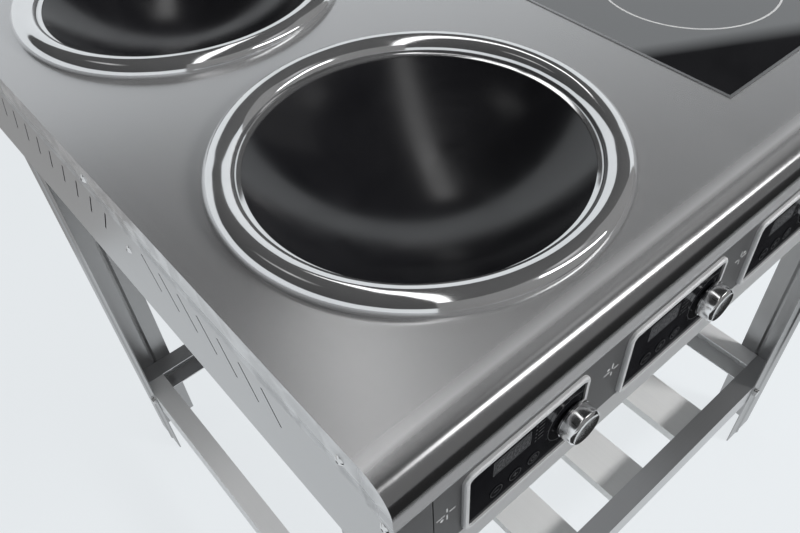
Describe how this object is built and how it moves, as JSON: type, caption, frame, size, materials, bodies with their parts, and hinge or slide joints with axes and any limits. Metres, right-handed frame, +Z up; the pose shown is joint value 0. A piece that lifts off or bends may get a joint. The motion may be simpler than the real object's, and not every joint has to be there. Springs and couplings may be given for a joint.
{
  "type": "induction wok range",
  "caption": "Free-standing induction range with sunken wok wells, a flat glass hob, front control panels and an open slatted stand.",
  "frame": {"origin": "on the floor under the middle of the overall width and depth, knobs included", "axes": "+X to the right seen from the front, +Y from the front to the back, +Z up"},
  "size_m": [0.8544, 0.877, 0.8845],
  "materials": {
    "brushed_steel": "brushed",
    "satin_steel": "fine brushed",
    "dark_steel": "dark satin film on brushed steel",
    "mirror_steel": "mirror polished",
    "turned_metal": "turned and satin polished",
    "black_glass": "polished black glass",
    "grey_plastic": "satin",
    "black_plastic": "matte",
    "button_black": "gloss with a grey ring",
    "seal_rubber": "matte",
    "coil_copper": "enamelled wire",
    "circuit_board": "coated laminate"
  },
  "bodies": {
    "range_body": {"top_plate": "brushed_steel", "side_panel_left": "satin_steel", "side_panel_right": "satin_steel", "rear_panel": "brushed_steel", "bottom_pan": "brushed_steel", "fascia_plate": "dark_steel", "fascia_end_left": "dark_steel", "fascia_end_right": "dark_steel", "front_lip": "satin_steel", "wok_ring_front": "mirror_steel", "wok_ring_rear": "mirror_steel", "wok_bowl_front": "black_glass", "wok_bowl_rear": "black_glass", "bowl_seals": "seal_rubber", "wok_coils": "coil_copper", "wok_coil_carriers": "black_plastic", "hob_glass": "black_glass", "hob_trim": "satin_steel", "hob_coils": "coil_copper", "hob_coil_carriers": "black_plastic", "panel_bezels": "grey_plastic", "panel_glass_1": "black_glass", "panel_glass_2": "black_glass", "panel_glass_3": "black_glass", "panel_glass_4": "black_glass", "control_boards": "circuit_board", "generator_modules": "circuit_board", "fan_frames": "black_plastic", "terminal_block": "grey_plastic", "cable_gland": "black_plastic", "side_screws": "turned_metal", "leg_front_left": "brushed_steel", "leg_front_right": "brushed_steel", "leg_rear_left": "brushed_steel", "leg_rear_right": "brushed_steel", "rail_front": "brushed_steel", "rail_rear": "brushed_steel", "rail_left": "satin_steel", "rail_right": "satin_steel", "shelf_slats": "satin_steel", "stand_bolts": "turned_metal"},
    "knob_1": {"knob_1": "turned_metal"},
    "minus_button_1": {"minus_button_1": "button_black"},
    "plus_button_1": {"plus_button_1": "button_black"},
    "timer_button_1": {"timer_button_1": "button_black"},
    "knob_2": {"knob_2": "turned_metal"},
    "minus_button_2": {"minus_button_2": "button_black"},
    "plus_button_2": {"plus_button_2": "button_black"},
    "timer_button_2": {"timer_button_2": "button_black"},
    "knob_3": {"knob_3": "turned_metal"},
    "minus_button_3": {"minus_button_3": "button_black"},
    "plus_button_3": {"plus_button_3": "button_black"},
    "timer_button_3": {"timer_button_3": "button_black"},
    "knob_4": {"knob_4": "turned_metal"},
    "minus_button_4": {"minus_button_4": "button_black"},
    "plus_button_4": {"plus_button_4": "button_black"},
    "timer_button_4": {"timer_button_4": "button_black"},
    "fan_rotor_front": {"fan_rotor_front": "grey_plastic"},
    "fan_rotor_rear": {"fan_rotor_rear": "grey_plastic"}
  },
  "joints": [
    {"name": "knob_1_turn", "type": "hinge", "parent": "range_body", "child": "knob_1", "pos_m": [-0.2508, -0.4235, 0.7745], "axis": [0, 1, 0], "range_deg": [0, 270]},
    {"name": "minus_button_1_press", "type": "slide", "parent": "range_body", "child": "minus_button_1", "axis": [0, 1, 0], "range_m": [0, 0.0008], "stiffness_N_per_m": 1500, "springref_m": -0.0005},
    {"name": "plus_button_1_press", "type": "slide", "parent": "range_body", "child": "plus_button_1", "axis": [0, 1, 0], "range_m": [0, 0.0008], "stiffness_N_per_m": 1500, "springref_m": -0.0005},
    {"name": "timer_button_1_press", "type": "slide", "parent": "range_body", "child": "timer_button_1", "axis": [0, 1, 0], "range_m": [0, 0.0008], "stiffness_N_per_m": 1500, "springref_m": -0.0005},
    {"name": "knob_2_turn", "type": "hinge", "parent": "range_body", "child": "knob_2", "pos_m": [-0.0727, -0.4235, 0.7745], "axis": [0, 1, 0], "range_deg": [0, 270]},
    {"name": "minus_button_2_press", "type": "slide", "parent": "range_body", "child": "minus_button_2", "axis": [0, 1, 0], "range_m": [0, 0.0008], "stiffness_N_per_m": 1500, "springref_m": -0.0005},
    {"name": "plus_button_2_press", "type": "slide", "parent": "range_body", "child": "plus_button_2", "axis": [0, 1, 0], "range_m": [0, 0.0008], "stiffness_N_per_m": 1500, "springref_m": -0.0005},
    {"name": "timer_button_2_press", "type": "slide", "parent": "range_body", "child": "timer_button_2", "axis": [0, 1, 0], "range_m": [0, 0.0008], "stiffness_N_per_m": 1500, "springref_m": -0.0005},
    {"name": "knob_3_turn", "type": "hinge", "parent": "range_body", "child": "knob_3", "pos_m": [0.1054, -0.4235, 0.7745], "axis": [0, 1, 0], "range_deg": [0, 270]},
    {"name": "minus_button_3_press", "type": "slide", "parent": "range_body", "child": "minus_button_3", "axis": [0, 1, 0], "range_m": [0, 0.0008], "stiffness_N_per_m": 1500, "springref_m": -0.0005},
    {"name": "plus_button_3_press", "type": "slide", "parent": "range_body", "child": "plus_button_3", "axis": [0, 1, 0], "range_m": [0, 0.0008], "stiffness_N_per_m": 1500, "springref_m": -0.0005},
    {"name": "timer_button_3_press", "type": "slide", "parent": "range_body", "child": "timer_button_3", "axis": [0, 1, 0], "range_m": [0, 0.0008], "stiffness_N_per_m": 1500, "springref_m": -0.0005},
    {"name": "knob_4_turn", "type": "hinge", "parent": "range_body", "child": "knob_4", "pos_m": [0.2835, -0.4235, 0.7745], "axis": [0, 1, 0], "range_deg": [0, 270]},
    {"name": "minus_button_4_press", "type": "slide", "parent": "range_body", "child": "minus_button_4", "axis": [0, 1, 0], "range_m": [0, 0.0008], "stiffness_N_per_m": 1500, "springref_m": -0.0005},
    {"name": "plus_button_4_press", "type": "slide", "parent": "range_body", "child": "plus_button_4", "axis": [0, 1, 0], "range_m": [0, 0.0008], "stiffness_N_per_m": 1500, "springref_m": -0.0005},
    {"name": "timer_button_4_press", "type": "slide", "parent": "range_body", "child": "timer_button_4", "axis": [0, 1, 0], "range_m": [0, 0.0008], "stiffness_N_per_m": 1500, "springref_m": -0.0005},
    {"name": "fan_rotor_front_spin", "type": "hinge", "parent": "range_body", "child": "fan_rotor_front", "pos_m": [0.00625, -0.1915, 0.714], "axis": [0, 0, 1], "continuous": true},
    {"name": "fan_rotor_rear_spin", "type": "hinge", "parent": "range_body", "child": "fan_rotor_rear", "pos_m": [0.00625, 0.2215, 0.714], "axis": [0, 0, 1], "continuous": true}
  ]
}
